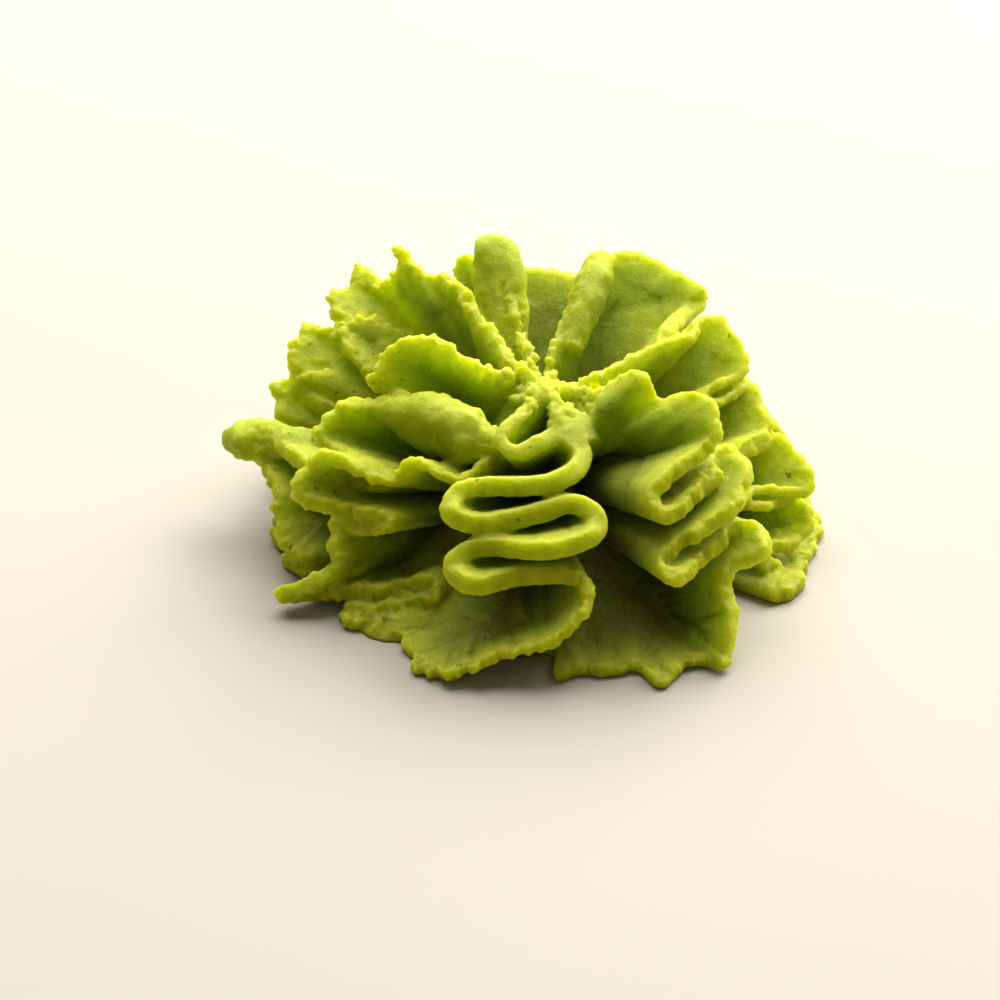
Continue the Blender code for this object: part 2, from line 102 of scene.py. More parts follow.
RIGHT = [
    (5, 1.2, 11.6), (2, 4.0, 12.5), (12, 6.9, 13.3), (17, 8.8, 13.5), (19, 10.1, 13.5),
    (19, 11.1, 13.3), (26, 11.9, 13.2), (29, 13.2, 13.0), (27, 13.9, 12.6),
    (23, 14.2, 12.1), (19, 14.5, 11.5), (16, 14.6, 10.9), (13, 14.2, 10.5),
    (11, 13.0, 10.4), (8, 11.8, 10.4), (5, 11.3, 10.1), (5, 12.2, 9.7), (8, 13.1, 9.6),
    (12, 14.1, 9.5), (13, 14.8, 9.3), (10, 15.0, 8.8), (7, 15.3, 8.3), (4, 15.8, 7.8),
    (1, 15.4, 7.6), (-2, 14.6, 7.7), (-5, 13.8, 7.8), (-8, 13.4, 7.5), (-6, 14.3, 7.2),
    (-1, 15.3, 7.0), (3, 16.2, 6.9), (1, 17.1, 6.3), (-2, 17.9, 5.6), (-5, 18.5, 4.8),
    (-7, 18.3, 4.5), (-9, 17.0, 4.9), (-12, 15.6, 5.4), (-15, 14.9, 5.5), (-17, 14.7, 5.0),
    (-15, 15.6, 4.6), (-10, 16.7, 4.1), (-7, 17.8, 3.6), (-9, 18.7, 2.9), (-12, 18.4, 2.2),
    (-16, 17.8, 2.0), (-20, 16.8, 2.4), (-25, 16.7, 2.2), (-23, 17.4, 1.2),
    (-29, 18.1, 0.6), (-22, 19.0, 0.5), (-13, 18.5, 0.4), (-4, 19.0, 0.4), (6, 18.6, 0.4),
    (17, 18.4, 0.4)]
BACK_RIGHT = [
    (60, 1.2, 11.6), (78, 4.5, 12.0), (72, 9.0, 14.0), (68, 12.2, 14.6), (61, 13.8, 14.2),
    (52, 14.1, 13.5), (40, 14.2, 12.4, BEND), (22, 9.0, 11.8, BEND), (60, 14.6, 10.2, BEND),
    (15, 15.2, 8.6, BEND), (64, 16.8, 6.8, BEND), (14, 17.0, 4.8, BEND), (40, 18.4, 3.0),
    (55, 19.2, 1.3), (68, 18.4, 0.5)]
BACK = [
    (100, 1.2, 11.6), (103, 5.0, 12.0), (106, 9.0, 13.4), (108, 12.2, 14.2),
    (114, 13.4, 13.2, BEND), (97, 12.3, 13.0), (80, 12.6, 12.1, BEND), (95, 13.9, 11.3),
    (117, 14.2, 10.4, BEND), (102, 13.4, 9.5), (87, 15.0, 9.2), (75, 16.4, 8.2, BEND),
    (91, 15.2, 7.6), (105, 16.2, 7.1), (117, 17.6, 6.2, BEND), (104, 16.1, 5.3),
    (89, 16.8, 5.3), (77, 18.2, 4.2, BEND), (88, 19.0, 2.6), (101, 19.4, 1.1),
    (115, 18.6, 0.5)]
BACK_LEFT = [
    (135, 1.2, 11.8), (125, 4.1, 12.2), (125, 7.0, 13.5), (127, 8.5, 14.0),
    (124, 9.2, 14.3), (125, 10.4, 14.4), (126, 11.5, 14.5), (128, 12.4, 14.4),
    (130, 13.2, 14.6), (131, 14.5, 15.4), (132, 14.9, 14.2), (132, 15.1, 13.0),
    (133, 16.0, 12.2), (133, 17.1, 12.0), (132, 18.1, 12.4), (134, 18.4, 11.8),
    (137, 18.1, 11.4), (140, 18.1, 11.2), (143, 17.7, 10.9), (145, 16.8, 10.7),
    (144, 15.9, 10.7), (142, 15.2, 10.8), (139, 14.3, 10.8), (138, 13.2, 10.6),
    (138, 12.0, 10.2), (148, 11.6, 9.6), (155, 12.5, 9.2), (154, 14.1, 9.6),
    (150, 15.3, 10.0), (147, 16.1, 10.2), (148, 17.0, 10.0), (148, 17.8, 9.8),
    (148, 18.7, 10.0), (151, 18.6, 9.5), (154, 18.7, 9.0), (156, 18.8, 8.6),
    (158, 18.1, 8.2), (158, 17.2, 8.2), (156, 16.2, 8.3), (152, 14.9, 8.0),
    (154, 13.7, 7.6), (157, 12.8, 7.1), (163, 13.6, 6.6), (163, 15.4, 6.9),
    (161, 17.2, 7.1), (159, 18.5, 7.3), (159, 19.4, 7.2), (161, 18.9, 6.4),
    (164, 18.4, 5.8), (160, 17.2, 5.3), (126, 17.6, 4.9, BEND), (160, 18.4, 3.4, BEND),
    (142, 19.2, 1.7), (133, 19.5, 1.0), (122, 18.4, 0.5)]
LEFT = [
    (151, 2.0, 12.0), (170, 4.1, 12.8), (170, 5.8, 13.8), (168, 7.6, 14.5),
    (171, 9.5, 14.0), (176, 10.9, 13.0), (180, 11.4, 12.0, 0.8), (-138, 4.8, 9.9, BEND),
    (-166, 8.6, 11.0), (-173, 10.3, 11.3), (-174, 12.0, 11.0), (-175, 13.3, 10.8),
    (-174, 14.4, 10.2), (-172, 15.3, 9.3), (-169, 14.9, 8.7), (-163, 13.8, 8.6),
    (-156, 12.7, 8.2), (-151, 11.9, 8.0), (-158, 13.6, 7.2), (-172, 16.2, 6.9),
    (178, 18.0, 6.6), (174, 19.4, 5.9, 1.2), (178, 18.6, 4.9), (-172, 18.0, 4.6),
    (-168, 18.2, 3.4), (-163, 18.1, 2.2), (-158, 17.0, 1.4), (-163, 17.8, 0.6),
    (-171, 17.5, 0.5), (180, 18.2, 0.5), (172, 17.6, 0.5), (163, 17.9, 0.5)]
FRONT_LEFT = [
    (-125, 5.0, 9.4), (-129, 9.3, 8.8), (-143, 10.8, 9.9), (-146, 11.2, 8.6),
    (-147, 12.4, 8.4), (-151, 13.6, 8.8), (-156, 14.6, 9.4), (-161, 15.7, 9.2),
    (-162, 16.8, 8.4), (-161, 17.4, 7.6), (-158, 17.3, 6.8), (-154, 16.0, 6.5),
    (-141, 13.2, 6.2), (-146, 14.6, 5.6), (-151, 16.0, 5.4), (-150, 15.6, 4.9),
    (-149, 16.6, 4.5), (-147, 16.4, 3.8), (-146, 17.2, 3.1), (-148, 19.0, 2.0),
    (-150, 20.5, 1.3), (-149, 18.2, 1.0), (-136, 14.6, 1.8), (-124, 12.8, 2.2),
    (-133, 15.4, 1.0), (-141, 17.1, 0.5), (-136, 17.6, 0.4), (-133, 16.3, 0.4),
    (-129, 16.4, 0.4), (-124, 17.0, 0.4), (-119, 17.8, 0.4), (-115, 19.2, 0.4),
    (-107, 18.9, 0.4)]


def polar(azimuth: np.ndarray | float, radius: np.ndarray | float,
          height: np.ndarray | float) -> np.ndarray:
    """Points (radius * cos, radius * sin, height) of azimuths in degrees.

    Args:
        azimuth: Angles round +Z, in degrees.
        radius: Distances from the axis.
        height: Heights over the plate.

    Returns:
        An array whose last axis is x, y, z.
    """
    turn = np.radians(azimuth)
    return np.stack([radius * np.cos(turn), radius * np.sin(turn), height + 0 * turn], -1)


def unit(vectors: np.ndarray) -> np.ndarray:
    """Vectors divided by their own lengths."""
    length = np.linalg.norm(vectors, axis=-1, keepdims=True)
    return vectors / np.maximum(length, TINY)


def ease(value: np.ndarray | float) -> np.ndarray | float:
    """Smooth step from 0 to 1: 3 t^2 - 2 t^3, with t clipped to that range."""
    t = np.clip(value, 0.0, 1.0)
    return t * t * (3 - 2 * t)


def between(value: np.ndarray | float, zero: float, one: float) -> np.ndarray | float:
    """Smooth step that is 0 up to zero and 1 from one on; one may be the smaller."""
    return ease((value - zero) / (one - zero))


def lattice_noise(points: np.ndarray, cell: float, seed: int) -> np.ndarray:
    """Random values on a cubic lattice, blended smoothly in between.

    Each point's cell corners draw values from -1 to 1 out of a shuffled list, and the
    eight of them are mixed with smooth-step weights along the three axes.

    Args:
        points: Points, one row each.
        cell: Lattice spacing.
        seed: Chooses the list of values.

    Returns:
        One value per point, from -1 to 1.
    """
    values = np.random.default_rng(seed).uniform(-1, 1, LATTICE_VALUES)
    place = points / cell
    corner = np.floor(place).astype(np.int64)
    share = ease(place - corner)
    total = np.zeros(len(points))
    for step in np.ndindex(2, 2, 2):
        weight = np.prod(np.where(step, share, 1 - share), axis=1)
        key = np.bitwise_xor.reduce((corner + step) * LATTICE_PRIMES, axis=1)
        total += weight * values[key & LATTICE_VALUES - 1]
    return total


def line_noise(run: np.ndarray, cell: float, seed: int) -> np.ndarray:
    """Random values from -1 to 1, one each cell along a line, joined by straight lines.

    Args:
        run: Length run along the line.
        cell: Spacing of the values.
        seed: Chooses the list of values.

    Returns:
        One value for each place on the line.
    """
    values = np.random.default_rng(seed).uniform(-1, 1, LINE_VALUES)
    knot = np.floor(run / cell).astype(np.int64)
    share = run / cell - knot
    last = LINE_VALUES - 1
    return values[knot & last] * (1 - share) + values[knot + 1 & last] * share


def layers(noise: Callable, place: np.ndarray, table: tuple, seed: int = 0) -> np.ndarray:
    """The sum of weight * noise over a table of weights, cells and seeds.

    Args:
        noise: lattice_noise or line_noise.
        place: Where the noise is wanted.
        table: A (weight, cell, seed) row for each layer.
        seed: Added to each layer's own seed.

    Returns:
        The summed noise at each place.
    """
    return sum(weight * noise(place, cell, own + seed) for weight, cell, own in table)


def hermite(points: np.ndarray, leave: np.ndarray, arrive: np.ndarray,
            count: int) -> np.ndarray:
    """Cubic Hermite spans through the points.

    With t from 0 to 1, a span is (2t^3 - 3t^2 + 1) * its first point + (t^3 - 2t^2 + t)
    * the speed that leaves it + (3t^2 - 2t^3) * its last point + (t^3 - t^2) * the
    speed that arrives there.

    Args:
        points: The points, one row each.
        leave: Speed at the start of each span.
        arrive: Speed at the end of each span.
        count: Points per span.

    Returns:
        The points of all spans, and the last point.
    """
    t = np.linspace(0.0, 1.0, count, endpoint=False)[None, :, None]
    curve = ((2 * t**3 - 3 * t**2 + 1) * points[:-1, None]
             + (t**3 - 2 * t**2 + t) * leave[:, None]
             + (3 * t**2 - 2 * t**3) * points[1:, None]
             + (t**3 - t**2) * arrive[:, None])
    return np.concatenate([curve.reshape(-1, points.shape[1]), points[-1:]])


@dataclass
class Solid:
    """A closed mesh in the making: points in millimetres, and faces as index lists."""

    points: np.ndarray
    faces: list


@dataclass
class Fin:
    """One fin of the rosette: a folded sheet between its root and its free rim.

    Attributes:
        name: Where the fin stands.
        middle: Azimuth that the root keeps close to.
        rows: Table that the rim goes through.
        seed: Chooses the fin's tears.
        torn: How far the rim's tears go on the crest, on the folds and on the foot.
        crest: Length of rim, from the middle, that counts as crest.
        foot: Length of rim, at its far end, that counts as foot.
        change: Length of rim over which one depth of tears gives way to the next.
        curtain: How far the wall under the crest bulges, towards larger azimuths.
        curtain_starts: Lengths of rim from 0 to the whole of that bulge.
        curtain_ends: Lengths past the crest where it starts to go and has gone.
        curtain_depth: Distance below the rim at which it ends.
        least_drop: Least that a hairpin's direction points down.
        span_points: Points in each span of the rim before it is spaced evenly.
        step: Spacing of the points along the rim.
        across: Points from root to lip, and in the lip.
        least_wall: Least length of the wall inside the lip.
        root_radius: Distance of the root from the axis.
        root_spread: Share of the rim's swing that the root follows.
        root_drop: Share of the rim's height that the root has.
        root_lift: Height added to that.
        root_mean: Points that the root's height is averaged over.
        neck: Thickness at the root.
        rim_width: Thickness at the rim of the folds.
        crest_width: Thickness at the rim of the crest.
        flap_width: Thickness at the rim of the foot.
        width_change: Length of rim over which one thickness gives way to the next.
        swell: Distance from the rim within which the neck's thickness changes.
        lip: Distance from the rim within which the corners are rounded.
        blunt: Share of the thickness left at the very rim.
        waves: Weight, length and seed of each wave that pushes the rim.
        notches: Weight, length, seed and threshold of the sharp notches.
        teeth: Weight, length, seed and threshold of the sharp teeth.
    """

    name: str
    middle: float
    rows: list[Row]
    seed: int
    torn: tuple[float, float, float] = (0.75, 0.40, 0.70)
    crest: float = 16.0
    foot: float = 14.0
    change: float = 3.0
    curtain: float = 0.0
    curtain_starts: tuple[float, float] = (0.0, 3.0)
    curtain_ends: tuple[float, float] = (2.0, -2.0)
    curtain_depth: float = 9.0
    least_drop: float = 0.6
    span_points: int = 24
    step: float = 0.2
    across: tuple[int, int] = (31, 7)
    least_wall: float = 0.05
    root_radius: float = 1.2
    root_spread: float = 0.3
    root_drop: float = 0.42
    root_lift: float = 0.2
    root_mean: int = 25
    neck: float = 1.0
    rim_width: float = 1.1
    crest_width: float = 0.62
    flap_width: float = 0.70
    width_change: float = 5.0
    swell: float = 5.0
    lip: float = 0.25
    blunt: float = 0.70
    waves: tuple = ((0.3, 1.6, 0), (0.3, 0.75, 20), (0.3, 0.4, 30))
    notches: tuple[float, float, int, float] = (1.3, 0.8, 40, 0.35)
    teeth: tuple[float, float, int, float] = (1.2, 0.7, 50, 0.55)

    def bends(self) -> np.ndarray:
        """Bend radius at each row, 0 where the rim only passes."""
        return np.array([row[3] if len(row) > 3 else 0.0 for row in self.rows])

    def directions(self, points: np.ndarray) -> np.ndarray:
        """Unit tangent of the rim at each row.

        Where the rim passes, it points from the row before to the row after.  In a
        hairpin it points straight down the rosette's slope: outward by the change in
        radius, and down.

        Args:
            points: The rows as points.

        Returns:
            One unit vector per row.
        """
        count = len(points)
        before = np.r_[0, np.arange(count - 1)]
        after = np.r_[np.arange(1, count), count - 1]
        along = points[after] - points[before]
        azimuth, radius = np.array([row[:2] for row in self.rows], float).T
        slope = (radius[after] - radius[before])[:, None] * polar(azimuth, 1.0, 0.0)
        slope[:, 2] = np.minimum(along[:, 2], -self.least_drop)
        return unit(np.where(self.bends()[:, None] > 0, slope, along))

    def rim(self) -> tuple[np.ndarray, np.ndarray]:
        """The rim before it is torn.

        Between two rows it is a cubic Hermite span.  Its end speeds are the chord's
        length where the rim passes, and sqrt(6 * chord * bend) in a hairpin, which
        gives it that bend radius.

        Returns:
            Evenly spaced points, and the length run at each.
        """
        azimuth, radius, height = np.array([row[:3] for row in self.rows], float).T
        points = polar(azimuth, radius, height)
        tangent = self.directions(points)
        chord = np.linalg.norm(np.diff(points, axis=0), axis=1)
        bends = self.bends()
        leave = np.where(bends[:-1] > 0, np.sqrt(6 * chord * bends[:-1]), chord)
        arrive = np.where(bends[1:] > 0, np.sqrt(6 * chord * bends[1:]), chord)
        path = hermite(points, tangent[:-1] * leave[:, None], tangent[1:] * arrive[:, None],
                       self.span_points)
        run = np.r_[0, np.cumsum(np.linalg.norm(np.diff(path, axis=0), axis=1))]
        even = np.linspace(0.0, run[-1], int(run[-1] / self.step) + 1)
        return np.stack([np.interp(even, run, axis) for axis in path.T], -1), even

    def root(self, rim: np.ndarray) -> np.ndarray:
        """Inner edge near the axis, never rising again as the rim folds down.

        Its height is a share of the lowest rim so far, averaged over its neighbours.

        Args:
            rim: Points of the rim.

        Returns:
            A point of the root for each point of the rim.
        """
        swing = np.degrees(np.arctan2(rim[:, 1], rim[:, 0])) - self.middle
        swing = (swing + 180) % 360 - 180
        drop = np.minimum.accumulate(self.root_drop * rim[:, 2] + self.root_lift)
        padded = np.pad(drop, self.root_mean // 2, mode="edge")
        height = np.convolve(padded, np.ones(self.root_mean) / self.root_mean, mode="valid")
        return polar(self.middle + self.root_spread * swing, self.root_radius, height)

    def regions(self, run: np.ndarray, change: float) -> tuple[np.ndarray, np.ndarray]:
        """How far each place on the rim belongs to the crest and to the foot."""
        end = run[-1] - self.foot
        return between(run, self.crest, self.crest - change), between(run, end, end + change)

    def tear_depth(self, run: np.ndarray) -> np.ndarray:
        """How deep the tears are along the rim, from crest through folds to foot."""
        crest, fold, foot = self.torn
        on_crest, on_foot = self.regions(run, self.change)
        return fold + (crest - fold) * on_crest + (foot - fold) * on_foot

    def torn_rim(self, rim: np.ndarray, run: np.ndarray, root: np.ndarray) -> np.ndarray:
        """The rim pushed in and out: waves, and sparse sharp notches and teeth.

        A notch is where its noise is under minus its threshold, and a tooth where its
        noise is over its threshold.

        Args:
            rim: Points of the rim.
            run: Length run at each.
            root: Points of the root.

        Returns:
            The torn rim's points.
        """
        tears = layers(line_noise, run, self.waves, self.seed)
        weight, cell, own, least = self.notches
        tears += weight * np.minimum(line_noise(run, cell, self.seed + own) + least, 0)
        weight, cell, own, least = self.teeth
        tears += weight * np.maximum(line_noise(run, cell, self.seed + own) - least, 0)
        return rim + unit(rim - root) * (self.tear_depth(run) * tears)[:, None]

    def surface(self) -> tuple[np.ndarray, np.ndarray]:
        """Middle surface of straight lines from the root to the torn rim.

        The last stretch before the rim, the lip, is spaced as the cosine of an even
        angle, so that its rounding gets its points; the rest is spaced evenly.  The
        curtain adds half a sine wave of bulge to the wall under the crest.

        Returns:
            The grid of points, root first, and each point's distance from the rim.
        """
        rim, run = self.rim()
        root = self.root(rim)
        rim = self.torn_rim(rim, run, root)
        length = np.linalg.norm(rim - root, axis=1)[:, None]
        wall_points, lip_points = self.across
        angle = np.linspace(0, np.pi / 2, lip_points)
        lip = self.lip * (1 - np.cos(angle))[None, ::-1]
        wall = np.linspace(1.0, 0.0, wall_points)[None, :-1]
        wall = lip[:, :1] + wall * np.maximum(length - lip[:, :1], self.least_wall)
        away = np.concatenate([wall, np.broadcast_to(lip, (len(rim), lip.size))], axis=1)
        sheet = rim[:, None] - unit(rim - root)[:, None] * away[..., None]
        side = unit(np.cross(UP, rim * (1, 1, 0)))
        sag = (self.curtain * between(run - self.crest, *self.curtain_ends)
               * between(run, *self.curtain_starts))
        sag = sag[:, None] * np.sin(np.pi * np.clip(away / self.curtain_depth, 0, 1))
        return sheet + side[:, None] * sag[..., None], away

    def solid(self) -> Solid:
        """The sheet with its thickness: both faces of the surface and a band round them.

        Half of the thickness goes to each side along the surface's normal.  It grows
        with a smooth step from the neck to the rim's width, which is smaller along the
        crest and along the foot.  The lip's corners are rounded as a quarter ellipse.

        Returns:
            The fin as one closed solid.
        """
        surface, away = self.surface()
        normal = unit(np.cross(np.gradient(surface, axis=0), np.gradient(surface, axis=1)))
        on_crest, on_foot = self.regions(self.rim()[1], self.width_change)
        thick = (self.rim_width + (self.crest_width - self.rim_width) * on_crest
                 + (self.flap_width - self.rim_width) * on_foot)
        width = self.neck + (thick[:, None] - self.neck) * between(away, self.swell, 0.0)
        inside = np.clip(1 - away / self.lip, 0, 1)
        width = width * (self.blunt + (1 - self.blunt) * np.sqrt(1 - inside ** 2))
        half = normal * width[..., None] / 2
        size = away.size
        index = np.arange(size).reshape(away.shape)
        quads = np.stack([index[:-1, :-1], index[1:, :-1], index[1:, 1:], index[:-1, 1:]],
                         -1).reshape(-1, 4)
        edge = np.r_[index[:-1, 0], index[-1, :-1], index[:0:-1, -1], index[0, :0:-1]]
        beside = np.roll(edge, -1)
        band = np.stack([beside, edge, edge + size, beside + size], -1)
        points = np.concatenate([(surface + half).reshape(-1, 3),
                                 (surface - half).reshape(-1, 3)])
        return Solid(points, np.concatenate([quads, quads[:, ::-1] + size, band]).tolist())


@dataclass
class Tongue:
    """A torn tongue of paste: a tapered lobe through its rows.

    Attributes:
        name: What the tongue is.
        rows: Azimuth, radius, height and half width of its sections.
        flat: Thickness of a section as a share of its width.
        ragged: Share by which lumps change the half widths.
        lumps: Weight, cell and seed of each layer of lumps.
        sides: Points round a section.
        span_points: Sections in each span.
    """

    name: str
    rows: list[tuple[float, float, float, float]]
    flat: float = 1.0
    ragged: float = 0.10
    lumps: tuple = ((1.0, 1.1, 31), (0.7, 0.55, 32))
    sides: int = 36
    span_points: int = 10

    def solid(self) -> Solid:
        """Rings round the path, closed at both ends.

        A ring's point is path + half width * spoke * (1 + ragged * lumps), and the
        path and the half width are cubic Hermite spans through the rows.

        Returns:
            The tongue as one closed solid.
        """
        azimuth, radius, height, half = np.array(self.rows, float).T
        sections = np.column_stack([polar(azimuth, radius, height), half])
        speed = np.gradient(sections, axis=0)
        sections = hermite(sections, speed[:-1], speed[1:], self.span_points)
        path, half = sections[:, :3], sections[:, 3]
        along = unit(np.gradient(path, axis=0))
        side = unit(np.cross(along, UP))
        lift = np.cross(side, along)
        turn = np.radians(np.arange(self.sides) * 360 / self.sides)
        spoke = half[:, None, None] * (
            side[:, None] * np.cos(turn)[None, :, None]
            + self.flat * lift[:, None] * np.sin(turn)[None, :, None])
        ring = (path[:, None] + spoke).reshape(-1, 3)
        lumps = self.ragged * layers(lattice_noise, ring, self.lumps)
        ring += spoke.reshape(-1, 3) * lumps[:, None]
        index = np.arange(len(ring)).reshape(len(path), self.sides)
        following = np.roll(index, -1, axis=1)
        walls = np.stack([index[:-1], following[:-1], following[1:], index[1:]], -1)
        faces = walls.reshape(-1, 4).tolist()
        return Solid(ring, faces + [index[0, ::-1].tolist(), index[-1].tolist()])


@dataclass
class Core:
    """The low dome in the middle that carries the fins, with a wavy foot.

    Attributes:
        profile: Radius and height of each point from the top down to the middle of the
            underside.
        sides: Points round a ring.
        waves: Waves per turn, height as a share of the radius, and azimuth of each
            wave of the foot.
    """

    profile: tuple = ((0.0, 11.6), (1.6, 11.2), (2.8, 9.4), (4.4, 7.0), (6.2, 5.0),
                      (8.6, 3.0), (11.5, 1.7), (14.4, 1.0), (15.4, 0.2), (15.4, -0.6),
                      (0.0, -0.6))
    sides: int = 96
    waves: tuple = ((5, 0.05, 60), (8, 0.05, 0), (13, 0.03, 120))

    def solid(self) -> Solid:
        """The profile turned round the axis; the foot's radius waves by a few cosines.

        Returns:
            The core as one closed solid.
        """
        turn = np.arange(self.sides) * 360 / self.sides
        wave = sum(share * np.cos(np.radians(count * turn - shift))
                   for count, share, shift in self.waves)
        foot = self.profile[-2][0]
        rings = [polar(turn, radius * (1 + wave * (radius / foot) ** 2), height)
                 for radius, height in self.profile[1:-1]]
        ends = np.array([[0, 0, self.profile[0][1]], [0, 0, self.profile[-1][1]]])
        index = np.arange(len(rings) * self.sides).reshape(len(rings), self.sides)
        following = np.roll(index, -1, axis=1)
        walls = np.stack([index[:-1], index[1:], following[1:], following[:-1]], -1)
        top, bottom = index.size, index.size + 1
        caps = (np.stack([index[0], following[0], np.full(self.sides, top)], -1).tolist()
                + np.stack([following[-1], index[-1], np.full(self.sides, bottom)],
                           -1).tolist())
        return Solid(np.concatenate(rings + [ends]), walls.reshape(-1, 4).tolist() + caps)


@dataclass
class Rosette:
    """The whole body of paste: fins, tongues and core fused into one skin.

    A band is a pair of values: up to the first a share is 0, from the second on it
    is 1.  Lengths are in millimetres.

    Attributes:
        longest_rim: Length kept for each fin's rim in the run along all rims.
        block: Points that are measured at a time.
        cell: Size of the cells that fuse the parts.
        soft: Share and rounds of the smoothing that follows.
        triangles: Most triangles that the finished skin has.
        under: Side of the block that cuts the underside.
        crumb: Height of the crumbs.
        crumb_rims: Band of distances from a rim that crumble.
        crumb_coarse: Weight, cell and seed of each layer of large crumbs.
        crumb_fine: Weight, cell and seed of each layer of small crumbs and pits.
        coarse_share: Share of the large crumbs beside the small ones.
        star_crumb: How crumbly the middle of the star is.
        star_radii: Band of radii of that middle.
        star_heights: Band of its heights.
        streak: Height of the ridges that run down the walls.
        ridges: Weight, width and seed of each layer of ridges.
        foot_streak: How much higher the ridges are on the foot.
        foot_heights: Band of heights of the foot.
        streak_starts: Band of distances from a rim where the ridges start.
        streak_ends: Band of distances that still have ridges.
        pitting: Depth of the pits.
        free_heights: Band of heights above the flat underside.
    """

    fins: list[Fin]
    tongues: list[Tongue]
    core: Core = field(default_factory=Core)
    longest_rim: float = 300.0
    block: int = 4000
    cell: float = 0.15
    soft: tuple[float, int] = (0.5, 3)
    triangles: int = 195_000
    under: float = 60.0
    crumb: float = 0.20
    crumb_rims: tuple[float, float] = (1.28, 0.48)
    crumb_coarse: tuple = ((1.0, 0.65, 11), (0.8, 0.42, 12))
    crumb_fine: tuple = ((1.0, 0.42, 13), (0.9, 0.26, 14))
    coarse_share: float = 0.4
    star_crumb: float = 1.4
    star_radii: tuple[float, float] = (6.0, 3.0)
    star_heights: tuple[float, float] = (10.0, 11.0)
    streak: float = 0.09
    ridges: tuple = ((0.5, 1.2, 60), (0.5, 0.6, 80))
    foot_streak: float = 2.0
    foot_heights: tuple[float, float] = (4.5, 2.5)
    streak_starts: tuple[float, float] = (0.0, 1.5)
    streak_ends: tuple[float, float] = (10.0, 6.0)
    pitting: float = 0.016
    free_heights: tuple[float, float] = (0.1, 0.7)

    def loose_mesh(self) -> bpy.types.Mesh:
        """One mesh that holds every overlapping closed part, faces pointing out.

        Returns:
            The mesh, in metres.
        """
        builder = bmesh.new()
        for part in (self.core, *self.fins, *self.tongues):
            solid = part.solid()
            mesh = bpy.data.meshes.new("loose")
            mesh.from_pydata((solid.points * MM).tolist(), [], solid.faces)
            builder.from_mesh(mesh)
            bpy.data.meshes.remove(mesh)
        bmesh.ops.recalc_face_normals(builder, faces=builder.faces)
        mesh = bpy.data.meshes.new(PIECE)
        builder.to_mesh(mesh)
        builder.free()
        return mesh

    @staticmethod
    def settle(piece: bpy.types.Object) -> None:
        """Put what the modifiers make of the piece into its mesh.

        Args:
            piece: The rosette's piece.
        """
        depsgraph = bpy.context.evaluated_depsgraph_get()
        mesh = bpy.data.meshes.new_from_object(piece.evaluated_get(depsgraph))
        piece.modifiers.clear()
        old, piece.data = piece.data, mesh
        bpy.data.meshes.remove(old)
        mesh.name = PIECE

    @staticmethod
    def skin(piece: bpy.types.Object) -> tuple[np.ndarray, np.ndarray]:
        """The piece's points in millimetres, and its normals.

        Args:
            piece: The rosette's piece.

        Returns:
            Points and normals, one row each.
        """
        points, normals = np.empty((2, len(piece.data.vertices) * 3), np.float32)
        piece.data.vertices.foreach_get("co", points)
        piece.data.vertices.foreach_get("normal", normals)
        return points.reshape(-1, 3) / MM, normals.reshape(-1, 3)

    def fuse(self, piece: bpy.types.Object) -> None:
        """Fuse the loose parts with a voxel skin and soften its steps.

        Args:
            piece: The rosette's piece.
        """
        skin = piece.modifiers.new("skin", "REMESH")
        skin.mode = "VOXEL"
        skin.voxel_size = self.cell * MM
        soft = piece.modifiers.new("soft", "SMOOTH")
        soft.factor, soft.iterations = self.soft
        self.settle(piece)

    def edges(self, points: np.ndarray) -> tuple[np.ndarray, np.ndarray, np.ndarray]:
        """Distance from each point to the nearest rim, and what that rim is like.

        The squared distance |a|^2 + |b|^2 - 2 a.b to every rim point is taken in
        blocks, and the smallest one is kept.

        Args:
            points: Points in millimetres.

        Returns:
            The distances in millimetres, the depth of the tears there, and the length
            run along all rims up to the point's foot on its own rim.
        """
        rims, depths, runs, along = [], [], [], []
        for fin in self.fins:
            rim, run = fin.rim()
            rims.append(rim)
            depths.append(fin.tear_depth(run))
            runs.append(run + fin.seed * self.longest_rim)
            along.append(unit(np.gradient(rim, axis=0)))
        rims, along = np.concatenate(rims), np.concatenate(along)
        flat = rims.astype(np.float32)
        square = np.sum(flat ** 2, axis=1)
        nearest = np.empty(len(points), np.int64)
        for start in range(0, len(points), self.block):
            part = slice(start, start + self.block)
            product = points[part].astype(np.float32) @ flat.T
            nearest[part] = (square[None] - 2 * product).argmin(axis=1)
        away = points - rims[nearest]
        run = np.concatenate(runs)[nearest] + np.sum(away * along[nearest], axis=1)
        return np.linalg.norm(away, axis=1), np.concatenate(depths)[nearest], run

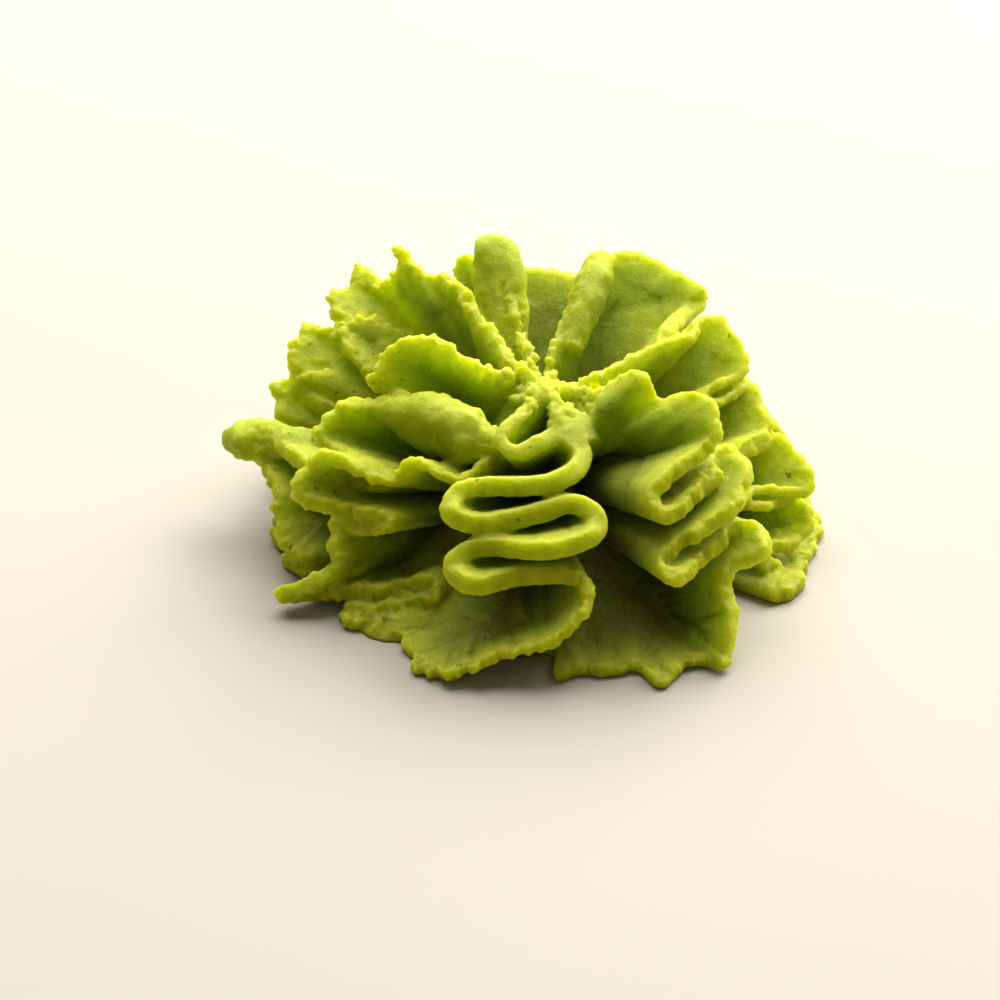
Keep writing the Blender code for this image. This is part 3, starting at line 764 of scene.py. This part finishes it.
    def roughen(self, piece: bpy.types.Object) -> None:
        """Crumble the skin: noise along the normals, strongest at the torn rims.

        The push is crumb * (how torn the near rim is, or the middle of the star)
        * (coarse + fine noise) + streak * (ridges down the walls) + pitting * (fine
        noise).  It fades out towards the plate, so that the underside stays flat.

        Args:
            piece: The rosette's piece.
        """
        points, normals = self.skin(piece)
        distance, torn, run = self.edges(points)
        height = points[:, 2]
        coarse = layers(lattice_noise, points, self.crumb_coarse)
        fine = layers(lattice_noise, points, self.crumb_fine)
        radius = np.hypot(points[:, 0], points[:, 1])
        middle = (self.star_crumb * between(radius, *self.star_radii)
                  * between(height, *self.star_heights))
        crumbly = np.maximum(torn * between(distance, *self.crumb_rims), middle)
        push = self.crumb * crumbly * (self.coarse_share * coarse + fine)
        steep = self.streak * (1 + self.foot_streak * between(height, *self.foot_heights))
        push += (steep * layers(line_noise, run, self.ridges)
                 * between(distance, *self.streak_starts)
                 * between(distance, *self.streak_ends))
        push += self.pitting * fine
        push *= between(height, *self.free_heights)
        points += normals * push[:, None]
        piece.data.vertices.foreach_set("co", (points * MM).astype(np.float32).ravel())
        piece.data.update()

    def cut_base(self, piece: bpy.types.Object) -> None:
        """Cut the underside flat on the plate, at z = 0.

        Args:
            piece: The rosette's piece.
        """
        size = self.under * MM
        builder = bmesh.new()
        bmesh.ops.create_cube(builder, size=size)
        bmesh.ops.translate(builder, verts=builder.verts, vec=(0, 0, -size / 2))
        block = bpy.data.meshes.new("under")
        builder.to_mesh(block)
        builder.free()
        under = bpy.data.objects.new("under", block)
        bpy.context.scene.collection.objects.link(under)
        cut = piece.modifiers.new("base", "BOOLEAN")
        cut.operation = "DIFFERENCE"
        cut.solver = "MANIFOLD"
        cut.object = under
        self.settle(piece)
        bpy.data.objects.remove(under, do_unlink=True)
        bpy.data.meshes.remove(block)

    def thin_out(self, piece: bpy.types.Object) -> None:
        """Drop faces on the smooth walls until the skin is light enough.

        Args:
            piece: The rosette's piece.
        """
        piece.data.calc_loop_triangles()
        ratio = self.triangles / len(piece.data.loop_triangles)
        if ratio < 1:
            thin = piece.modifiers.new("thin", "DECIMATE")
            thin.ratio = ratio
            self.settle(piece)

    def build(self, finish: PasteFinish) -> bpy.types.Object:
        """Make the rosette's piece, dress it and tie it to the frame.

        Args:
            finish: The paste's finish.

        Returns:
            The finished piece.
        """
        piece = bpy.data.objects.new(PIECE, self.loose_mesh())
        bpy.context.scene.collection.objects.link(piece)
        self.fuse(piece)
        self.roughen(piece)
        self.cut_base(piece)
        self.thin_out(piece)
        points, normals = self.skin(piece)
        Marks().store(piece.data, points, normals, *self.edges(points))
        piece.data.shade_smooth()
        piece.data.materials.clear()
        piece.data.materials.append(finish.material())
        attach(piece, "root")
        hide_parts(NODE)
        return piece


@dataclass(frozen=True)
class Marks:
    """What the finish reads per point, each a share from 0 to 1 over a band.

    Attributes:
        edge: Distances from a rim: 1 on a rim, where the painted glow of light through the
            rim and the crumbly bump go.
        star_radii: Radii of the crumbly rims round the middle of the top, where a highlight
            is painted.
        star_heights: Heights of those rims.
        star_rims: Distances from a rim on them.
        up: How far up the skin faces, where a highlight is painted: 0 where it stands
            upright.
        low: Heights of the foot, whose furrows get painted shade: 1 on the foot.
        deep: Distances from a rim over which shade is painted: 1 far down in a fold.
        most_torn: Depth of tears that counts as 1.
        stretch: How much the furrows' pattern is drawn out down the walls.
    """

    edge: tuple[float, float] = (2.8, 0.0)
    star_radii: tuple[float, float] = (9.5, 4.5)
    star_heights: tuple[float, float] = (9.5, 11.5)
    star_rims: tuple[float, float] = (1.82, 0.42)
    up: tuple[float, float] = (0.45, 0.90)
    low: tuple[float, float] = (5.0, 2.5)
    deep: tuple[float, float] = (0.8, 5.3)
    most_torn: float = 0.7
    stretch: float = 0.15

    def store(self, mesh: bpy.types.Mesh, points: np.ndarray, normals: np.ndarray,
              distance: np.ndarray, torn: np.ndarray, run: np.ndarray) -> None:
        """Write the marks, and the flow: run along the rim, way down the wall, tears.

        Args:
            mesh: The rosette's mesh.
            points: Its points in millimetres.
            normals: Its normals.
            distance: Each point's distance from the nearest rim.
            torn: Depth of the tears there.
            run: Length run along the rims there.
        """
        x, y, height = points.T
        star = (between(np.hypot(x, y), *self.star_radii)
                * between(height, *self.star_heights) * between(distance, *self.star_rims))
        # edge places the painted glow at the rims, up and star the painted highlights, and
        # the fold mark the painted shade deep in the folds.
        marks = {"edge": between(distance, *self.edge),
                 "star": star,
                 "up": between(normals[:, 2], *self.up),
                 "low": between(height, *self.low),
                 "deep": between(distance, *self.deep),
                 "torn": torn / self.most_torn}
        for name, values in marks.items():
            attribute = mesh.attributes.new(name, "FLOAT", "POINT")
            attribute.data.foreach_set("value", values.astype(np.float32))
        flow = np.stack([run, distance * self.stretch, torn], axis=-1)
        attribute = mesh.attributes.new("flow", "FLOAT_VECTOR", "POINT")
        attribute.data.foreach_set("vector", flow.astype(np.float32).ravel())


class Value:
    """A number socket that can be written into an expression."""

    def __init__(self, shader: Shader, socket: bpy.types.NodeSocket) -> None:
        """Wrap a socket of a shader's node tree."""
        self.shader = shader
        self.socket = socket

    def _math(self, operation: str, first: object, second: object) -> Value:
        """Add a Math node on two operands."""
        return self.shader.node("ShaderNodeMath", {"operation": operation},
                                {0: first, 1: second})

    def __add__(self, other: object) -> Value:
        """Sum."""
        return self._math("ADD", self, other)

    __radd__ = __add__

    def __sub__(self, other: object) -> Value:
        """Difference."""
        return self._math("SUBTRACT", self, other)

    def __rsub__(self, other: object) -> Value:
        """Difference from a number."""
        return self._math("SUBTRACT", other, self)

    def __mul__(self, other: object) -> Value:
        """Product."""
        return self._math("MULTIPLY", self, other)

    __rmul__ = __mul__


class Shader:
    """The node tree of one material."""

    def __init__(self, name: str) -> None:
        """Start a material that holds only its Principled BSDF and output."""
        self.material = bpy.data.materials.new(name)
        self.material.use_nodes = True
        self.tree = self.material.node_tree
        self.surface = self.tree.nodes["Principled BSDF"].inputs

    def node(self, kind: str, settings: dict | None = None, sockets: dict | None = None,
             output: int | str = 0) -> Value:
        """Add any node.

        Args:
            kind: The node's type.
            settings: Its properties, set before its sockets.
            sockets: Values or links of its input sockets, by name or number.
            output: The output socket that is wanted.

        Returns:
            That output socket.
        """
        node = self.tree.nodes.new(kind)
        for key, value in (settings or {}).items():
            setattr(node, key, value)
        for key, value in (sockets or {}).items():
            self.put(node.inputs[key], value)
        return Value(self, node.outputs[output])

    def put(self, socket: bpy.types.NodeSocket, value: object) -> None:
        """Link or set one input socket.

        Args:
            socket: The input socket.
            value: A Value to link, or a number or a colour to set.
        """
        if isinstance(value, Value):
            self.tree.links.new(value.socket, socket)
        elif isinstance(value, tuple) and len(value) == 3 and socket.type == "RGBA":
            socket.default_value = (*value, 1.0)
        else:
            socket.default_value = value

    def mark(self, name: str, output: str = "Fac") -> Value:
        """A number or a vector that the mesh stores per point."""
        return self.node("ShaderNodeAttribute", {"attribute_name": name}, output=output)

    def mix(self, factor: object, first: object, second: object) -> Value:
        """Blend two colours."""
        return self.node("ShaderNodeMix", {"data_type": "RGBA"},
                         {0: factor, 6: first, 7: second}, output=2)

    def noise(self, place: Value, scale: float, detail: float, roughness: float) -> Value:
        """Cloudy noise from 0 to 1.

        Args:
            place: Where it is read.
            scale: Clouds per unit of length.
            detail: How many times finer clouds are added.
            roughness: How strong the finer ones are.

        Returns:
            The noise.
        """
        return self.node("ShaderNodeTexNoise", None,
                         {"Vector": place, "Scale": scale, "Detail": detail,
                          "Roughness": roughness}, output="Fac")

    def band(self, value: Value, low: float, high: float) -> Value:
        """Map low..high to 0..1 with a smooth step."""
        return self.node("ShaderNodeMapRange", {"interpolation_type": "SMOOTHSTEP"},
                         {"Value": value, "From Min": low, "From Max": high})


@dataclass(frozen=True)
class PasteFinish:
    """Moist, finely grated paste that light shines a little way into.

    A noise is its scale, detail and roughness.  A band is a pair of values between
    which a share goes from 0 to 1.  A share of two numbers is the first plus the
    second times a noise.

    Attributes:
        body: Colour of the walls.
        pale: Colour of the paler clouds in them.
        rim: Painted glow of light shining through the thin rims.
        crumbs: Painted highlight colour, on what faces up and on the crumbs round the star.
        shade: Painted shade deep in the folds and in the furrows of the foot; also the
            colour of the dark pulp mottling, which is no light.
        fleck: Colour of the dark flecks of rind.
    """

    body: tuple = (0.290, 0.378, 0.002)
    pale: tuple = (0.350, 0.440, 0.012)
    rim: tuple = (0.555, 0.575, 0.002)
    crumbs: tuple = (0.640, 0.700, 0.090)
    shade: tuple = (0.057, 0.056, 0.0003)
    fleck: tuple = (0.110, 0.100, 0.003)
    clouds: tuple = (220.0, 4.0, 0.6)
    cloud_band: tuple = (0.35, 0.65)
    grain: tuple = (2600.0, 5.0, 0.65)
    pulp: tuple = (1100.0, 4.0, 0.6)
    pulp_band: tuple = (0.62, 0.38)
    pulp_shade: float = 0.14
    furrows: tuple = (2.0, 4.0, 0.6)
    furrow_band: tuple = (0.50, 0.36)
    furrow_shade: float = 0.6
    flecks: tuple = (1300.0, 2.0, 0.5)
    fleck_band: tuple = (0.70, 0.76)
    fleck_share: float = 0.7
    # Shares of the painted shade in the folds, the painted glow at the rims and the painted
    # highlights where the skin faces up and round the star.
    fold_shade: float = 0.9
    rim_glow_share: tuple = (0.60, 0.40)
    highlight_share: tuple = (0.12, 0.42)
    star_highlight_share: tuple = (0.3, 0.6)
    roughness: float = 0.43
    roughness_spread: float = 0.35
    relief: tuple = (0.4, 0.5)
    furrow_depth: float = 0.8
    bump: float = 0.9
    bump_height: float = 0.18
    scatter: float = 0.9
    scatter_radius: tuple = (1.12, 1.28, 0.08)
    scatter_scale: float = 2.3
    sheen: float = 0.06
    sheen_roughness: float = 0.45
    sheen_tint: tuple = (0.92, 1.0, 0.80)
    refraction: float = 1.42
    specular: float = 0.18

    def material(self) -> bpy.types.Material:
        """Build the material.

        From the body colour the skin turns pale in clouds, dark with painted shade in the
        folds and in the furrows of the foot, yellow with a painted glow of light through the
        rims, and paler with a painted highlight where it faces up and on the crumbs round
        the star.  Pulp and flecks dot it.

        Returns:
            The paste's material.
        """
        shader = Shader("wasabi_paste_finish")
        place = shader.node("ShaderNodeTexCoord", output="Object")
        edge, torn = shader.mark("edge"), shader.mark("torn")
        clouds = shader.noise(place, *self.clouds)
        grain = shader.noise(place, *self.grain)
        pulp = shader.noise(place, *self.pulp)
        furrows = shader.noise(shader.mark("flow", "Vector"), *self.furrows)
        furrow = shader.band(furrows, *self.furrow_band) * shader.mark("low")
        fleck = shader.band(shader.noise(place, *self.flecks), *self.fleck_band)
        rim, rim_glow_clouds = self.rim_glow_share
        highlight, highlight_grain = self.highlight_share
        crumbs, star_highlight_pulp = self.star_highlight_share
        coats = (
            # Painted shade deep in the folds.
            (shader.mark("deep") * self.fold_shade, self.shade),
            # Painted shade in the valleys of the furrows on the foot.
            (furrow * self.furrow_shade, self.shade),
            # Painted glow of light shining through the thin rims.
            (edge * (rim + rim_glow_clouds * clouds), self.rim),
            # Painted highlight where the skin faces up.
            (shader.mark("up") * (highlight + highlight_grain * grain), self.crumbs),
            # Painted highlight on the crumbs round the middle of the star.
            (shader.mark("star") * (crumbs + star_highlight_pulp * pulp), self.crumbs),
            (shader.band(pulp, *self.pulp_band) * self.pulp_shade, self.shade),
            (fleck * self.fleck_share, self.fleck))
        colour = shader.mix(shader.band(clouds, *self.cloud_band), self.body, self.pale)
        for share, coat in coats:
            colour = shader.mix(share, colour, coat)
        even, crumbly = self.relief
        height = grain + pulp * (even + crumbly * torn * edge) - furrow * self.furrow_depth
        settings = {"Base Color": colour,
                    "Roughness": self.roughness + (grain - 0.5) * self.roughness_spread,
                    "Normal": shader.node("ShaderNodeBump", None, {
                        "Strength": self.bump, "Distance": self.bump_height * MM,
                        "Height": height}),
                    "Subsurface Weight": self.scatter,
                    "Subsurface Radius": self.scatter_radius,
                    "Subsurface Scale": self.scatter_scale * MM,
                    "Sheen Weight": self.sheen,
                    "Sheen Roughness": self.sheen_roughness,
                    "Sheen Tint": self.sheen_tint,
                    "IOR": self.refraction,
                    "Specular IOR Level": self.specular}
        for socket, value in settings.items():
            shader.put(shader.surface[socket], value)
        return shader.material


@dataclass(frozen=True)
class Lamp:
    """One square soft lamp that faces the rosette: its place, size, power and colour."""

    name: str
    place: tuple[float, float, float]
    size: float
    power: float
    colour: tuple[float, float, float] = (1.0, 1.0, 1.0)

    def hang(self) -> None:
        """Put the lamp into the scene."""
        light = bpy.data.lights.new(self.name, "AREA")
        light.size = self.size
        light.energy = self.power
        light.color = self.colour
        lamp = bpy.data.objects.new(self.name, light)
        lamp.location = self.place
        lamp.rotation_mode = "QUATERNION"
        lamp.rotation_quaternion = (-Vector(self.place)).to_track_quat("-Z", "Y")
        bpy.context.scene.collection.objects.link(lamp)


@dataclass
class Studio:
    """Pale floor, soft lights and the camera, in metres and degrees.

    Attributes:
        lamps: A key from behind on the right, and a broad lamp over the back.
        room_colour: Colour of the light from all round.
        ambient: Strength of that light.
        pitch: How far the camera looks down.
        distance: From the camera to what it looks at.
        view_width: Width of the picture at that distance.
        sight: What it looks at, to the right and up from the origin.
        sensor: Width of the film in millimetres.
        nearest: Closest that the camera sees.
    """

    floor_size: float = 3.0
    floor_colour: tuple = (0.56, 0.51, 0.43)
    floor_roughness: float = 0.8
    lamps: tuple[Lamp, ...] = (
        Lamp("key", (0.25, 0.30, 0.26), 0.40, 3.2, (1.0, 0.98, 0.94)),
        Lamp("top", (-0.02, 0.29, 0.37), 0.55, 4.0))
    room_colour: tuple = (1.0, 0.94, 0.80)
    ambient: float = 0.145
    pitch: float = 34.0
    distance: float = 0.9
    view_width: float = 0.06711
    sight: tuple = (-0.002685, 0.001946)
    sensor: float = 36.0
    nearest: float = 0.01

    def floor(self) -> None:
        """Lay the pale floor that the rosette rests on."""
        half = self.floor_size / 2
        mesh = bpy.data.meshes.new("floor")
        mesh.from_pydata([(-half, -half, 0), (half, -half, 0), (half, half, 0),
                          (-half, half, 0)], [], [(0, 1, 2, 3)])
        plane = bpy.data.objects.new("floor", mesh)
        bpy.context.scene.collection.objects.link(plane)
        shader = Shader("pale_floor")
        shader.put(shader.surface["Base Color"], self.floor_colour)
        shader.put(shader.surface["Roughness"], self.floor_roughness)
        mesh.materials.append(shader.material)

    def lights(self) -> None:
        """Hang the lamps and light the room."""
        for lamp in self.lamps:
            lamp.hang()
        world = bpy.data.worlds.new("room")
        world.use_nodes = True
        backdrop = world.node_tree.nodes["Background"].inputs
        backdrop["Color"].default_value = (*self.room_colour, 1.0)
        backdrop["Strength"].default_value = self.ambient
        bpy.context.scene.world = world

    def camera(self) -> None:
        """A long lens that looks down on the front of the rosette."""
        pitch = math.radians(self.pitch)
        up = Vector((0.0, math.sin(pitch), math.cos(pitch)))
        ahead = Vector((0.0, math.cos(pitch), -math.sin(pitch)))
        right, rise = self.sight
        lens = bpy.data.cameras.new("camera")
        lens.sensor_width = self.sensor
        lens.lens = self.sensor * self.distance / self.view_width
        lens.clip_start = self.nearest
        camera = bpy.data.objects.new("camera", lens)
        camera.location = Vector((right, 0.0, 0.0)) + up * rise - ahead * self.distance
        camera.rotation_mode = "QUATERNION"
        camera.rotation_quaternion = ahead.to_track_quat("-Z", "Y")
        bpy.context.scene.collection.objects.link(camera)
        bpy.context.scene.camera = camera
        bpy.context.scene.view_settings.view_transform = "Standard"

    def build(self) -> None:
        """Set up the camera, the floor and the lights."""
        self.camera()
        self.floor()
        self.lights()


def rosette() -> Rosette:
    """The rosette with its eight fins and the tongues on them."""
    fins = [
        Fin("front", -93, FRONT, 0, torn=(0.12, 0.14, 0.60), crest=11.0, foot=18.0,
            rim_width=1.35, crest_width=0.85),
        Fin("front_right", -42, FRONT_RIGHT, 1, torn=(0.35, 0.40, 0.70), curtain=-2.0,
            foot=16.0),
        Fin("right", 0, RIGHT, 2, torn=(0.35, 0.35, 0.65), crest=60.0),
        Fin("back_right", 44, BACK_RIGHT, 3, torn=(0.50, 0.25, 0.60)),
        Fin("back", 96, BACK, 4, torn=(0.75, 0.25, 0.60)),
        Fin("back_left", 140, BACK_LEFT, 5, crest=48.0, crest_width=0.8),
        Fin("left", -178, LEFT, 6, torn=(0.75, 0.55, 0.70)),
        Fin("front_left", -138, FRONT_LEFT, 7, torn=(0.60, 0.55, 0.70))]
    tongues = [
        Tongue("cup_ridge", [(62, 4.6, 11.6, 0.7), (66, 7.0, 12.9, 1.1),
                             (68, 9.6, 13.9, 1.2), (70, 12.0, 14.4, 0.8)]),
        Tongue("front_ridge", [(-72, 1.5, 12.2, 0.5), (-72, 3.0, 11.8, 0.6),
                               (-75, 4.9, 11.3, 0.8)]),
        Tongue("front_shoulder", [(-64, 2.4, 11.2, 0.7), (-62, 4.6, 10.7, 1.3),
                                  (-62, 6.4, 10.1, 1.3)]),
        Tongue("back_leaf", [(112, 4.5, 9.8, 1.1), (110, 6.9, 11.6, 1.6),
                             (107, 9.1, 13.5, 1.9), (106, 10.7, 15.0, 1.75),
                             (107, 11.6, 15.8, 1.2), (107, 12.0, 16.1, 0.5)], flat=0.3),
        Tongue("loop_scrap", [(-49, 13.2, 8.9, 0.5), (-41, 14.0, 9.5, 0.7),
                              (-34, 14.2, 10.0, 0.5)]),
        Tongue("left_spike", [(177, 15.0, 6.3, 1.2), (175, 17.4, 6.0, 1.55),
                              (174, 19.3, 5.8, 1.6), (173, 20.6, 5.6, 1.35),
                              (173, 21.4, 5.5, 0.7)], flat=0.8, ragged=0.24),
        Tongue("pillow", [(-174, 11.0, 10.6, 0.7), (-170, 9.4, 10.3, 1.4),
                          (-164, 7.6, 10.0, 1.95), (-151, 6.2, 9.6, 2.0),
                          (-137, 5.3, 9.2, 1.5), (-125, 4.8, 8.9, 0.7)], ragged=0.13)]
    return Rosette(fins, tongues)


def main() -> None:
    """Build the studio and the rosette, and report each."""
    logging.basicConfig(level=logging.INFO, format="%(name)s: %(message)s")
    Studio().build()
    log.info("studio ready")
    piece = rosette().build(PasteFinish())
    log.info("%s: %d points, %d faces", piece.name, len(piece.data.vertices),
             len(piece.data.polygons))


if __name__ == "__main__":
    main()
